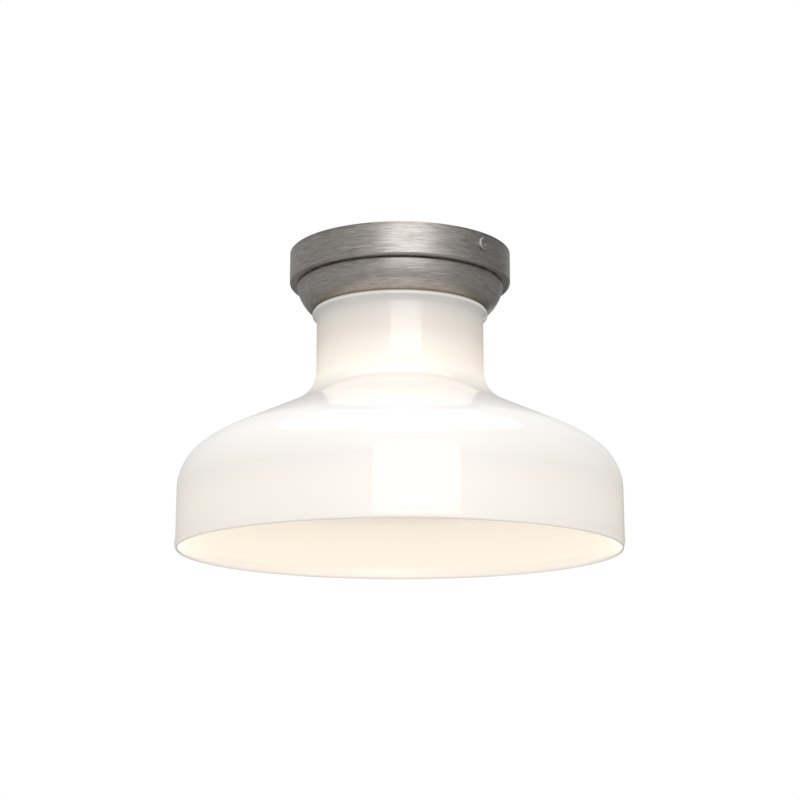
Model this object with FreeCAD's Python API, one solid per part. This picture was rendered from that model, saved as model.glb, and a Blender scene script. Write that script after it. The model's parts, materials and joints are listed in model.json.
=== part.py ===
import FreeCAD, Part
import math
import os

# Flush mount ceiling light with one bulb and an opal glass shade, in millimetres.
# The ceiling is the plane z = 0 and the light hangs below it, towards -Z, about the Z axis.
# The mounting plate runs along X, with a side screw at each of its ends.

# Whole light
light_height = 210.3

# Canopy: the spun pan against the ceiling
canopy_diameter = 154.8
canopy_height = 22.3
canopy_wall = 0.8
canopy_corner = 1.6

# Shade holder: the spun bowl under the canopy
holder_top_diameter = 145.6
holder_mouth_diameter = 124.9
holder_height = 18.7
holder_bulge = 32.0
holder_shoulder = 1.6
holder_wall = 0.8

# Opal glass shade
glass_wall = 3.2
shade_diameter = 305.0
neck_diameter = 116.4
neck_end = 84.15
lip_overlap = 1.0
lip_gap = 0.4
lip_height = 2.4
lip_round = 0.9
lip_sweep = 52.0
lip_fillet = 4.2
collar_clearance = 1.4
collar_round = 3.4
shade_hole_clearance = 1.5
flare_radius = 26.5
flare_angle = 49.5
slope_radius = 48.0
slope_angle = 64.75
shoulder_radius = 80.0
shoulder_angle = 49.7
wall_radius = 34.9

# Threaded nipple, nut and washer on the centre line
nipple_diameter = 10.0
nipple_bore = 7.0
nipple_above_nut = 2.0
nipple_in_cap = 6.0
nut_across_flats = 15.0
nut_height = 4.6
nut_chamfer = 0.9
nut_chamfer_height = 0.45
washer_diameter = 19.0
washer_thickness = 0.8
washer_teeth = 12
washer_tooth_length = 2.4
washer_slot_width = 1.5

# Lampholder
cap_diameter = 48.0
cap_height = 12.0
cap_round = 4.0
cap_cavity_diameter = 33.0
cap_cavity_height = 6.0
body_thread_diameter = 39.0
body_thread_length = 26.0
body_length = 30.0
body_nose_step = 1.0
body_nose_round = 1.5
body_floor = 4.0
socket_bore = 28.4
shell_wall = 0.5
shell_flange_diameter = 13.6
shell_recess = 2.0
shell_post_clearance = 0.6
post_circle = 19.0
terminal_direction = 90.0
terminal_plate_length = 9.0
terminal_plate_width = 8.0
terminal_plate_thickness = 0.7
terminal_past_rivet = 3.0
terminal_head_diameter = 6.0
terminal_head_height = 2.0
small_screw_diameter = 3.0
small_head_diameter = 5.2
small_head_height = 1.8
small_head_round = 0.6
small_slot_width = 0.8
small_slot_depth = 0.8
contact_diameter = 9.0
contact_thickness = 0.6
contact_tongue_width = 4.6
contact_tongue_flat = 3.0
contact_tongue_end = 2.2
contact_drop = 2.4
rivet_diameter = 3.0

# Ring that holds the shade, and its two gaskets
gasket_thickness = 1.2
gasket_width = 3.4
ring_diameter = 58.0
ring_flange = 2.6
ring_hub_diameter = 47.0
ring_height = 7.0
ring_ribs = 12
ring_rib_width = 4.0

# Bulb
bulb_diameter = 60.0
bulb_length = 105.0
bulb_glass_wall = 0.8
bulb_neck_diameter = 25.2
base_diameter = 26.2
base_length = 21.0
base_wall = 0.4
base_insulator_height = 3.2
base_insulator_step = 0.8
base_contact_diameter = 9.4
base_contact_height = 1.2
base_contact_chamfer = 0.6
base_cone_diameter = 21.0
base_cone_angle = 45.0
base_collar = 3.0
contact_gap = 0.2

# Mounting plate across the outlet box
plate_width = 28.0
plate_thickness = 1.6
plate_bend = 1.4
plate_flange = 4.6
plate_flange_length = 104.0
ear_width = 15.0
ear_depth = 14.0
ear_corner = 3.5
ear_gap = 0.9
box_spacing_small = 69.85
box_spacing_large = 88.9
box_slot_width = 4.9
plate_centre_hole = 10.6
spare_hole_spacing = 9.0
spare_hole_diameter = 3.4

# Side screws through the canopy
side_screw_depth = 8.0
side_screw_diameter = 4.0
side_screw_length = 10.0
side_head_diameter = 8.4
side_head_height = 1.3
side_head_round = 0.9
side_recess_width = 1.1
side_recess_depth = 0.8
side_recess_reach = 4.6
side_washer_diameter = 9.4
side_washer_thickness = 0.4
side_seat_gap = 0.15

# Ground screw in the mounting plate
ground_screw_offset = 17.0
ground_screw_diameter = 4.0
ground_head_diameter = 8.0
ground_head_height = 2.8
ground_head_round = 0.8
ground_slot_width = 1.2
ground_slot_depth = 1.2

# Leads and their connectors inside the canopy
lead_diameter = 2.2
lead_core_diameter = 1.0
lead_spacing = 3.5
lead_reach = 44.0
lead_rise = 6.5
lead_slack = 24.0
lead_elbow = 28.0
lead_start_gap = 1.5
lead_bend_tight = 2.4
lead_bend = 6.0
lead_bend_easy = 14.0
lead_bend_wide = 10.0
connector_diameter = 11.0
connector_tip_diameter = 6.4
connector_length = 20.0
connector_skirt_length = 6.7
connector_bore_depth = 10.0
connector_grip = 6.0
connector_mouth_diameter = 8.0
connector_mouth_depth = 3.0
connector_flute_diameter = 1.6
connector_flutes = 12
connector_rest = 0.3

# Clearances between pieces
thread_clearance = 0.06
hole_clearance = 0.3
grip_clearance = 0.15
shell_clearance = 0.15

# Values worked out from the sizes above
canopy_radius = canopy_diameter / 2
holder_top = -canopy_height
holder_bottom = holder_top - holder_height
cap_top = holder_top - holder_wall
cap_bottom = cap_top - cap_height
body_bottom = cap_bottom - body_length
socket_floor = cap_bottom - body_floor
canopy_floor_top = -canopy_height + canopy_wall
washer_top = canopy_floor_top + washer_thickness
nut_top = washer_top + nut_height
nipple_radius = nipple_diameter / 2
thread_radius = nipple_radius + thread_clearance
shade_top = cap_bottom - gasket_thickness
flange_bottom = shade_top - glass_wall
ring_top = flange_bottom - gasket_thickness
shade_hole = body_thread_diameter / 2 + shade_hole_clearance
shell_outer = socket_bore / 2 - shell_clearance
contact_face = socket_floor - contact_drop
bulb_top = contact_face - contact_gap
base_top = bulb_top - base_contact_height - base_insulator_height
base_bottom = bulb_top - base_length
bulb_bottom = bulb_top - bulb_length
plate_bottom = -plate_thickness
ear_outer = canopy_radius - canopy_wall - ear_gap
side_seat = canopy_radius + side_seat_gap
side_head_seat = side_seat + side_washer_thickness


def point(radius, height):
    return FreeCAD.Vector(radius, 0, height)


def segment(start, end):
    return Part.LineSegment(start, end).toShape()


class Outline:
    # A closed line in the XZ plane, drawn by steps. A heading of 0 points away from the axis,
    # 90 up and -90 down. A positive turn goes from outwards to up.
    def __init__(self, radius, height, heading=0.0):
        self.start = point(radius, height)
        self.here = self.start
        self.heading = heading
        self.edges = []

    def go_to(self, radius, height):
        target = point(radius, height)
        if target.distanceToPoint(self.here) > 1e-6:
            self.edges.append(segment(self.here, target))
            self.heading = math.degrees(math.atan2(height - self.here.z, radius - self.here.x))
        self.here = target
        return self

    def forward(self, length):
        angle = math.radians(self.heading)
        return self.go_to(self.here.x + length * math.cos(angle), self.here.z + length * math.sin(angle))

    def look(self, heading):
        self.heading = heading
        return self

    def turn(self, radius, angle):
        side = 1 if angle > 0 else -1
        normal = math.radians(self.heading + 90 * side)
        centre_x = self.here.x + radius * math.cos(normal)
        centre_z = self.here.z + radius * math.sin(normal)

        def at(share):
            swept = normal + math.pi + math.radians(angle) * share
            return point(centre_x + radius * math.cos(swept), centre_z + radius * math.sin(swept))

        middle, end = at(0.5), at(1.0)
        self.edges.append(Part.Arc(self.here, middle, end).toShape())
        self.here = end
        self.heading += angle
        return self

    def face(self):
        if self.here.distanceToPoint(self.start) > 1e-6:
            self.edges.append(segment(self.here, self.start))
        return Part.Face(Part.Wire(self.edges))

    def spin(self):
        return solid(self.face().revolve(FreeCAD.Vector(0, 0, 0), FreeCAD.Vector(0, 0, 1), 360))

    def slab(self, width):
        face = self.face()
        face.translate(FreeCAD.Vector(0, -width / 2, 0))
        return solid(face.extrude(FreeCAD.Vector(0, width, 0)))


def solid(shape):
    body = shape.Solids[0]
    if body.Volume < 0:
        body.reverse()
    return body


def rod(radius, bottom, top, x=0.0, y=0.0):
    return Part.makeCylinder(radius, top - bottom, FreeCAD.Vector(x, y, bottom))


def block(length, width, bottom, top, x=0.0, y=0.0):
    corner = FreeCAD.Vector(x - length / 2, y - width / 2, bottom)
    return Part.makeBox(length, width, top - bottom, corner)


def turned(shape, angle):
    copy = shape.copy()
    copy.rotate(FreeCAD.Vector(0, 0, 0), FreeCAD.Vector(0, 0, 1), angle)
    return copy


def slot(spacing, width, bottom, top, x=0.0):
    half = spacing / 2
    middle = block(spacing, width, bottom, top, x)
    ends = [rod(width / 2, bottom, top, x - half), rod(width / 2, bottom, top, x + half)]
    return middle.fuse(ends)


def sideways(shape, height):
    # Lays a shape that was built along +Z along +X instead, at the given height.
    copy = shape.copy()
    copy.rotate(FreeCAD.Vector(0, 0, 0), FreeCAD.Vector(0, 1, 0), 90)
    copy.translate(FreeCAD.Vector(0, 0, height))
    return copy


def canopy():
    inner_corner = canopy_corner - canopy_wall
    pan = Outline(canopy_radius, 0, -90)
    pan.go_to(canopy_radius, -canopy_height + canopy_corner)
    pan.turn(canopy_corner, -90)
    pan.go_to(nipple_radius + hole_clearance, -canopy_height)
    pan.go_to(nipple_radius + hole_clearance, canopy_floor_top)
    pan.go_to(canopy_radius - canopy_wall - inner_corner, canopy_floor_top)
    pan.turn(inner_corner, 90)
    pan.go_to(canopy_radius - canopy_wall, 0)
    body = pan.spin()
    hole = sideways(rod(side_screw_diameter / 2 + hole_clearance, 0, canopy_diameter), -side_screw_depth)
    return solid(body.cut([hole, turned(hole, 180)]))


def holder_centre():
    # Centre of the arc that bulges outwards from the top corner to the mouth of the bowl.
    top = point(holder_top_diameter / 2, holder_top)
    mouth = point(holder_mouth_diameter / 2, holder_bottom)
    chord = mouth.sub(top)
    reach = math.sqrt(holder_bulge ** 2 - chord.Length ** 2 / 4)
    inward = FreeCAD.Vector(chord.z, 0, -chord.x).normalize()
    return top.add(chord.multiply(0.5)).add(inward.multiply(reach))


def holder_side(inset):
    # The line of the bowl, moved in by the inset: where its flat top ends, the shoulder's
    # middle, where the bulge starts, its middle, and where it ends.
    centre = holder_centre()
    bulge = holder_bulge - inset
    shoulder = holder_shoulder - inset
    level = holder_top - holder_shoulder
    drop = level - centre.z
    shoulder_x = centre.x + math.sqrt((holder_bulge - holder_shoulder) ** 2 - drop ** 2)
    start = math.atan2(drop, shoulder_x - centre.x)
    end = math.atan2(holder_bottom - centre.z, holder_mouth_diameter / 2 - centre.x)

    def on_bulge(angle):
        return point(centre.x + bulge * math.cos(angle), centre.z + bulge * math.sin(angle))

    bend = (start + math.pi / 2) / 2
    flat_end = point(shoulder_x, level + shoulder)
    middle = point(shoulder_x + shoulder * math.cos(bend), level + shoulder * math.sin(bend))
    return flat_end, middle, on_bulge(start), on_bulge((start + end) / 2), on_bulge(end)


def arc(first, middle, last):
    return Part.Arc(first, middle, last).toShape()


def shade_holder():
    hole = nipple_radius + hole_clearance
    outer = holder_side(0.0)
    inner = holder_side(holder_wall)
    rim_out = outer[4].sub(inner[4]).normalize()
    rim_down = FreeCAD.Vector(rim_out.z, 0, -rim_out.x).multiply(holder_wall / 2)
    rim = outer[4].add(inner[4]).multiply(0.5).add(rim_down)
    edges = [
        segment(point(hole, holder_top), outer[0]),
        arc(outer[0], outer[1], outer[2]),
        arc(outer[2], outer[3], outer[4]),
        arc(outer[4], rim, inner[4]),
        arc(inner[4], inner[3], inner[2]),
        arc(inner[2], inner[1], inner[0]),
        segment(inner[0], point(hole, holder_top - holder_wall)),
        segment(point(hole, holder_top - holder_wall), point(hole, holder_top)),
    ]
    face = Part.Face(Part.Wire(edges))
    return solid(face.revolve(FreeCAD.Vector(0, 0, 0), FreeCAD.Vector(0, 0, 1), 360))


def slope_length():
    # Length of the straight flank that brings the wall out to the shade's diameter.
    flare, slope = math.radians(flare_angle), math.radians(slope_angle)
    knuckle = math.radians(shoulder_angle)
    reach = shade_diameter / 2 - neck_diameter / 2
    reach -= flare_radius * (1 - math.cos(flare))
    reach -= slope_radius * (math.cos(flare) - math.cos(slope))
    reach -= shoulder_radius * (math.cos(knuckle) - math.cos(slope))
    reach -= wall_radius * (1 - math.cos(knuckle))
    return reach / math.sin(slope)


def shade():
    neck = neck_diameter / 2
    lip = holder_mouth_diameter / 2 - lip_overlap
    collar = holder_mouth_diameter / 2 - holder_wall - collar_clearance
    lip_top = holder_bottom - holder_wall / 2 - lip_gap
    glass = Outline(shade_hole, shade_top)
    glass.go_to(collar - collar_round, shade_top)
    glass.turn(collar_round, -90)
    glass.go_to(collar, lip_top)
    glass.go_to(lip - lip_round, lip_top)
    glass.turn(lip_round, -90)
    glass.forward(lip_height - 2 * lip_round)
    glass.turn(lip_round, -lip_sweep)
    fillet_width = lip_fillet * (1 - math.cos(math.radians(lip_sweep)))
    lip_rest = glass.here.x - neck - fillet_width
    glass.forward(lip_rest / math.sin(math.radians(lip_sweep)))
    glass.turn(lip_fillet, lip_sweep)
    glass.go_to(neck, -neck_end)
    glass.turn(flare_radius, flare_angle)
    glass.turn(slope_radius, slope_angle - flare_angle)
    glass.forward(slope_length())
    glass.turn(shoulder_radius, shoulder_angle - slope_angle)
    glass.turn(wall_radius, -shoulder_angle)
    glass.go_to(shade_diameter / 2, -light_height + glass_wall / 2)
    glass.turn(glass_wall / 2, -180)
    glass.go_to(shade_diameter / 2 - glass_wall, wall_top())
    glass.turn(wall_radius - glass_wall, shoulder_angle)
    glass.turn(shoulder_radius - glass_wall, slope_angle - shoulder_angle)
    glass.forward(slope_length())
    glass.turn(slope_radius + glass_wall, flare_angle - slope_angle)
    glass.turn(flare_radius + glass_wall, -flare_angle)
    glass.go_to(neck - glass_wall, flange_bottom - collar_round)
    glass.turn(collar_round, 90)
    glass.go_to(shade_hole, flange_bottom)
    return glass.spin()


def wall_top():
    # Height at which the last bend of the glass reaches its upright wall.
    flare, slope = math.radians(flare_angle), math.radians(slope_angle)
    knuckle = math.radians(shoulder_angle)
    drop = neck_end
    drop += flare_radius * math.sin(flare)
    drop += slope_radius * (math.sin(slope) - math.sin(flare))
    drop += slope_length() * math.cos(slope)
    drop += shoulder_radius * (math.sin(slope) - math.sin(knuckle))
    drop += wall_radius * math.sin(knuckle)
    return -drop


def nipple():
    tube = rod(nipple_radius, cap_top - nipple_in_cap, nut_top + nipple_above_nut)
    return tube.cut(rod(nipple_bore / 2, cap_top - nipple_in_cap, nut_top + nipple_above_nut))


def hexagon(across_flats, bottom, top):
    corner = across_flats / math.sqrt(3)
    corners = [FreeCAD.Vector(corner * math.cos(math.radians(60 * step)),
                              corner * math.sin(math.radians(60 * step)), bottom) for step in range(7)]
    return Part.Face(Part.makePolygon(corners)).extrude(FreeCAD.Vector(0, 0, top - bottom))


def nipple_nut():
    corner = nut_across_flats / math.sqrt(3)
    blank = hexagon(nut_across_flats, washer_top, nut_top)
    limit = Outline(0, washer_top, 0)
    limit.go_to(corner - nut_chamfer, washer_top).go_to(corner, washer_top + nut_chamfer_height)
    limit.go_to(corner, nut_top - nut_chamfer_height).go_to(corner - nut_chamfer, nut_top)
    limit.go_to(0, nut_top)
    return solid(blank.common(limit.spin()).cut(rod(thread_radius, washer_top, nut_top)))


def lock_washer():
    # Washer with teeth inside, made by slots that run outwards from its bore.
    disc = rod(washer_diameter / 2, canopy_floor_top, washer_top)
    bore = rod(thread_radius + hole_clearance, canopy_floor_top, washer_top)
    length = thread_radius + hole_clearance + washer_tooth_length
    cutter = block(length, washer_slot_width, canopy_floor_top, washer_top, length / 2)
    slots = [turned(cutter, 360 / washer_teeth * step) for step in range(washer_teeth)]
    return solid(disc.cut([bore] + slots))


def post_places(first_angle):
    # Two opposite places on the circle of the lampholder's posts.
    x = post_circle / 2 * math.cos(math.radians(first_angle))
    y = post_circle / 2 * math.sin(math.radians(first_angle))
    return [(x, y), (-x, -y)]


def lampholder_cap():
    cap = Outline(thread_radius, cap_top)
    cap.go_to(cap_diameter / 2 - cap_round, cap_top)
    cap.turn(cap_round, -90)
    cap.go_to(cap_diameter / 2, cap_bottom)
    cap.go_to(cap_cavity_diameter / 2, cap_bottom)
    cap.go_to(cap_cavity_diameter / 2, cap_bottom + cap_cavity_height)
    cap.go_to(thread_radius, cap_bottom + cap_cavity_height)
    body = cap.spin()
    pillars = []
    for x, y in post_places(90):
        pillar = rod(small_head_diameter / 2, cap_bottom, cap_bottom + cap_cavity_height, x, y)
        pillars.append(pillar)
    body = body.fuse(pillars)
    bore = small_screw_diameter / 2 + thread_clearance
    bores = [rod(bore, cap_bottom, cap_bottom + cap_cavity_height, x, y) for x, y in post_places(90)]
    return turned(solid(body.cut(bores)), terminal_direction)


def lampholder_body():
    nose = body_thread_diameter / 2 - body_nose_step
    body = Outline(0, cap_bottom, 0)
    body.go_to(body_thread_diameter / 2, cap_bottom)
    body.go_to(body_thread_diameter / 2, cap_bottom - body_thread_length)
    body.go_to(nose, cap_bottom - body_thread_length - body_nose_step)
    body.go_to(nose, body_bottom + body_nose_round)
    body.turn(body_nose_round, -90)
    body.go_to(socket_bore / 2, body_bottom)
    body.go_to(socket_bore / 2, socket_floor)
    body.go_to(0, socket_floor)
    shape = body.spin()
    holes = [rod(rivet_diameter / 2 + thread_clearance, socket_floor, cap_bottom)]
    for x, y in post_places(0) + post_places(90):
        holes.append(rod(small_screw_diameter / 2 + thread_clearance, socket_floor, cap_bottom, x, y))
    return turned(solid(shape.cut(holes)), terminal_direction)


def screw_shell():
    shell = Outline(shell_flange_diameter / 2, socket_floor, 0)
    shell.go_to(shell_outer, socket_floor)
    shell.go_to(shell_outer, body_bottom + shell_recess)
    shell.go_to(shell_outer - shell_wall, body_bottom + shell_recess)
    shell.go_to(shell_outer - shell_wall, socket_floor - shell_wall)
    shell.go_to(shell_flange_diameter / 2, socket_floor - shell_wall)
    shape = shell.spin()
    flange = socket_floor - shell_wall
    bore = small_screw_diameter / 2 + thread_clearance
    neutral, live = post_places(0)
    cuts = [rod(bore, flange, socket_floor, x, y) for x, y in post_places(90) + [neutral]]
    cuts.append(rod(small_screw_diameter / 2 + shell_post_clearance, flange, socket_floor, *live))
    return turned(solid(shape.cut(cuts)), terminal_direction)


def centre_contact():
    # Round foot on the floor of the socket, a sprung tongue below it and a rivet through the floor.
    foot_bottom = socket_floor - contact_thickness
    foot = rod(contact_diameter / 2, foot_bottom, socket_floor)
    reach = contact_diameter / 2
    flat = contact_tongue_flat / 2
    tongue = Outline(-reach, foot_bottom, 0)
    tongue.go_to(-reach + contact_thickness, foot_bottom)
    tongue.go_to(-flat, contact_face + contact_thickness)
    tongue.go_to(flat, contact_face + contact_thickness)
    tongue.go_to(contact_tongue_end, foot_bottom - contact_thickness)
    tongue.go_to(contact_tongue_end + contact_thickness, foot_bottom - contact_thickness)
    tongue.go_to(flat + contact_thickness / 2, contact_face)
    tongue.go_to(-flat - contact_thickness / 2, contact_face)
    strip = tongue.slab(contact_tongue_width)
    rivet = rod(rivet_diameter / 2, socket_floor, cap_bottom + terminal_plate_thickness)
    return turned(solid(foot.fuse([strip, rivet]).removeSplitter()), terminal_direction)


def terminal_plates():
    # The plate on the live side reaches the rivet, the one on the neutral side ends before it.
    bottom, top = cap_bottom, cap_bottom + terminal_plate_thickness
    screw_x = post_circle / 2
    live_length = screw_x + terminal_plate_length / 2 + terminal_past_rivet
    live = block(live_length, terminal_plate_width, bottom, top, live_length / 2 - terminal_past_rivet)
    live = live.cut(rod(rivet_diameter / 2 + thread_clearance, bottom, top))
    neutral = block(terminal_plate_length, terminal_plate_width, bottom, top, screw_x)
    hole = rod(small_screw_diameter / 2 + thread_clearance, bottom, top, screw_x)
    pair = [turned(solid(live.cut(hole)), terminal_direction + 180),
            turned(solid(neutral.cut(hole)), terminal_direction)]
    return Part.makeCompound(pair)


def screw(head_diameter, head_height, head_round, shank_diameter, shank_length, recess):
    # Screw along Z with its head above z = 0 and its shank below.
    head = Outline(0, 0)
    head.go_to(head_diameter / 2, 0).go_to(head_diameter / 2, head_height - head_round)
    head.turn(head_round, 90).go_to(0, head_height)
    body = head.spin().fuse(rod(shank_diameter / 2, -shank_length, 0))
    return solid(body.cut(recess).removeSplitter())


def small_screw(head_diameter, head_height, length):
    recess = block(head_diameter * 2, small_slot_width, head_height - small_slot_depth, head_height)
    return screw(head_diameter, head_height, small_head_round, small_screw_diameter, length, [recess])


def placed(shape, x, y, height, flipped=False):
    copy = shape.copy()
    if flipped:
        copy.rotate(FreeCAD.Vector(0, 0, 0), FreeCAD.Vector(1, 0, 0), 180)
    copy.translate(FreeCAD.Vector(x, y, height))
    return copy


def terminal_screws():
    length = terminal_plate_thickness + body_floor
    model = small_screw(terminal_head_diameter, terminal_head_height, length)
    both = [turned(placed(model, x, y, cap_bottom + terminal_plate_thickness), terminal_direction)
            for x, y in post_places(0)]
    return Part.makeCompound(both)


def lampholder_screws():
    length = shell_wall + body_floor + cap_cavity_height - terminal_plate_thickness
    model = small_screw(small_head_diameter, small_head_height, length)
    both = [turned(placed(model, x, y, socket_floor - shell_wall, True), terminal_direction)
            for x, y in post_places(90)]
    return Part.makeCompound(both)


def gasket(top):
    disc = rod(shade_hole + gasket_width, top - gasket_thickness, top)
    return solid(disc.cut(rod(shade_hole - hole_clearance, top - gasket_thickness, top)))


def shade_ring():
    bore = body_thread_diameter / 2 + thread_clearance
    ring_bottom = ring_top - ring_height
    ring = Outline(bore, ring_top)
    ring.go_to(ring_diameter / 2, ring_top)
    ring.go_to(ring_diameter / 2, ring_top - ring_flange)
    ring.go_to(ring_hub_diameter / 2, ring_top - ring_flange)
    ring.go_to(ring_hub_diameter / 2, ring_bottom)
    ring.go_to(bore, ring_bottom)
    body = ring.spin()
    reach = ring_diameter / 2 - bore
    rib = block(reach, ring_rib_width, ring_bottom, ring_top, bore + reach / 2)
    rib = rib.common(rod(ring_diameter / 2, ring_bottom, ring_top))
    rib = rib.cut(rod(bore, ring_bottom, ring_top))
    ribs = [turned(rib, 360 / ring_ribs * step) for step in range(ring_ribs)]
    return solid(body.fuse(ribs).removeSplitter())


def bulb_glass():
    # The neck runs into the globe by one arc that is tangent to both.
    globe = bulb_diameter / 2
    neck = bulb_neck_diameter / 2
    rise = base_bottom - bulb_bottom - globe
    bend = (rise ** 2 + neck ** 2 - globe ** 2) / (2 * (globe - neck))
    sweep = math.degrees(math.atan2(rise, neck + bend))
    neck_top = base_bottom + base_collar
    bulb = Outline(neck, neck_top).go_to(neck, base_bottom)
    bulb.turn(bend, sweep).turn(globe, -90 - sweep)
    bulb.go_to(0, bulb_bottom + bulb_glass_wall).look(0)
    bulb.turn(globe - bulb_glass_wall, 90 + sweep).turn(bend + bulb_glass_wall, -sweep)
    bulb.go_to(neck - bulb_glass_wall, neck_top)
    return bulb.spin()


def bulb_base():
    # Screw shell of the bulb, open below round the glass and drawn in to the insulator above.
    outer = base_diameter / 2
    cone = base_cone_diameter / 2
    shoulder = base_top - (outer - cone) / math.tan(math.radians(base_cone_angle))
    mitre = base_wall * math.tan(math.radians(base_cone_angle / 2))
    base = Outline(outer, base_bottom).go_to(outer, shoulder)
    base.go_to(cone, base_top).go_to(cone - base_wall, base_top)
    base.go_to(outer - base_wall, shoulder - mitre)
    base.go_to(outer - base_wall, base_bottom)
    return base.spin()


def bulb_insulator():
    cone = base_cone_diameter / 2
    top = base_top + base_insulator_height
    step = cone - base_insulator_step
    plug = Outline(0, base_top - base_wall).go_to(step, base_top - base_wall)
    plug.go_to(step, base_top).go_to(cone, base_top)
    plug.go_to(base_contact_diameter / 2, top).go_to(0, top)
    return plug.spin()


def bulb_contact():
    bottom = base_top + base_insulator_height
    edge = base_contact_diameter / 2
    disc = Outline(0, bottom).go_to(edge, bottom).go_to(edge, bulb_top - base_contact_chamfer)
    disc.go_to(edge - base_contact_chamfer, bulb_top).go_to(0, bulb_top)
    return disc.spin()


def bent_strip(half_length, depth, width):
    # Flat strip whose two ends are bent down, along X.
    outer = plate_bend + plate_thickness
    strip = Outline(-half_length, -depth).go_to(-half_length, -outer)
    strip.turn(outer, -90).go_to(half_length - outer, 0).turn(outer, -90)
    strip.go_to(half_length, -depth).go_to(half_length - plate_thickness, -depth)
    strip.go_to(half_length - plate_thickness, -outer).turn(plate_bend, 90)
    strip.go_to(-half_length + outer, plate_bottom).turn(plate_bend, 90)
    strip.go_to(-half_length + plate_thickness, -depth)
    return strip.slab(width)


def rounded_strip():
    # Limit of the strip with the ears: full width above, with round corners at the ears' lower ends.
    inset = ear_width / 2 - ear_corner
    low = -ear_depth + ear_corner
    parts = [block(canopy_diameter, inset * 2, -ear_depth, low)]
    for y in (-inset, inset):
        corner = sideways(rod(ear_corner, -canopy_radius, canopy_radius), low)
        parts.append(placed(corner, 0, y, 0))
    return block(canopy_diameter, ear_width, low, 0).fuse(parts)


def mounting_plate():
    channel = turned(bent_strip(plate_width / 2, plate_flange, plate_flange_length), 90)
    ears = bent_strip(ear_outer, ear_depth, ear_width).common(rounded_strip())
    plate = channel.fuse(ears)
    middle = (box_spacing_small + box_spacing_large) / 4
    reach = (box_spacing_large - box_spacing_small) / 2
    cuts = [slot(reach, box_slot_width, plate_bottom, 0, middle),
            slot(reach, box_slot_width, plate_bottom, 0, -middle),
            rod(plate_centre_hole / 2, plate_bottom, 0),
            rod(ground_screw_diameter / 2 + thread_clearance, plate_bottom, 0, ground_screw_offset),
            sideways(rod(side_screw_diameter / 2 + thread_clearance, -canopy_radius, canopy_radius),
                     -side_screw_depth)]
    for x in (-ground_screw_offset, ground_screw_offset):
        for y in (-spare_hole_spacing, spare_hole_spacing):
            cuts.append(rod(spare_hole_diameter / 2, plate_bottom, 0, x, y))
    return solid(plate.cut(cuts).removeSplitter())


def ground_screw():
    recess = block(ground_head_diameter * 2, ground_slot_width, ground_head_height - ground_slot_depth,
                   ground_head_height)
    model = screw(ground_head_diameter, ground_head_height, ground_head_round, ground_screw_diameter,
                  plate_thickness, [recess])
    return placed(model, ground_screw_offset, 0, plate_bottom, True)


def side_screw(side):
    floor = side_head_height - side_recess_depth
    bar = block(side_recess_reach, side_recess_width, floor, side_head_height)
    model = screw(side_head_diameter, side_head_height, side_head_round, side_screw_diameter,
                  side_screw_length, [bar, turned(bar, 90)])
    model.translate(FreeCAD.Vector(0, 0, side_head_seat))
    return turned(sideways(model, -side_screw_depth), side)


def side_washer(side):
    disc = rod(side_washer_diameter / 2, side_seat, side_head_seat)
    disc = disc.cut(rod(side_screw_diameter / 2 + thread_clearance, side_seat, side_head_seat))
    return turned(sideways(solid(disc), -side_screw_depth), side)


def bent_wire(corners, radii):
    # Straight runs through the corners, joined by arcs of the given radii.
    edges = []
    here = corners[0]
    for before, corner, after, radius in zip(corners, corners[1:], corners[2:], radii):
        into = corner.sub(before).normalize()
        out = after.sub(corner).normalize()
        angle = into.getAngle(out)
        reach = radius * math.tan(angle / 2)
        first = corner.sub(FreeCAD.Vector(into).multiply(reach))
        last = corner.add(FreeCAD.Vector(out).multiply(reach))
        inward = out.sub(into).normalize()
        depth = radius / math.cos(angle / 2) - radius
        edges.append(segment(here, first))
        edges.append(arc(first, corner.add(inward.multiply(depth)), last))
        here = last
    edges.append(segment(here, corners[-1]))
    return Part.Wire(edges)


def connector_axis():
    return canopy_floor_top + connector_diameter / 2 + connector_rest


def lead(side):
    # From its terminal up through the nipple, over to one side and along the canopy floor.
    low = cap_bottom + terminal_plate_thickness + lead_start_gap
    high = nut_top + nipple_above_nut + lead_rise
    start = post_circle / 2 - terminal_head_diameter / 2 - lead_start_gap
    beside = lead_spacing / 2
    along = connector_axis()
    corners = [point(start, low), point(beside, low), point(beside, high), point(lead_elbow, high),
               point(lead_reach, along), FreeCAD.Vector(lead_reach, lead_slack, along)]
    path = bent_wire(corners, [lead_bend_tight, lead_bend, lead_bend_easy, lead_bend_wide])
    ring = Part.makeCircle(lead_diameter / 2, corners[0], FreeCAD.Vector(1, 0, 0))
    cover = path.makePipeShell([Part.Wire(ring)], True, False)
    core = sideways(rod(lead_core_diameter / 2, start, start + lead_start_gap), low)
    return turned(solid(cover.fuse(core)), terminal_direction + side)


def connector(side):
    # Twist-on connector with its mouth at z = 0 and its closed tip up, then laid along the lead's end.
    grip = lead_diameter / 2 + grip_clearance
    cap = Outline(grip, connector_mouth_depth).go_to(connector_mouth_diameter / 2, 0)
    cap.go_to(connector_diameter / 2, 0).go_to(connector_diameter / 2, connector_skirt_length)
    cap.go_to(connector_tip_diameter / 2, connector_length).go_to(0, connector_length)
    cap.go_to(0, connector_bore_depth).go_to(grip, connector_bore_depth)
    body = cap.spin()
    flute = rod(connector_flute_diameter / 2, 0, connector_length, connector_diameter / 2)
    flutes = [turned(flute, 360 / connector_flutes * step) for step in range(connector_flutes)]
    body = solid(body.cut(flutes))
    body.rotate(FreeCAD.Vector(0, 0, 0), FreeCAD.Vector(1, 0, 0), -90)
    body.translate(FreeCAD.Vector(lead_reach, lead_slack - connector_grip, connector_axis()))
    return turned(body, terminal_direction + side)


def export(name, shape):
    shape.exportStep("parts/" + name + ".step")


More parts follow.
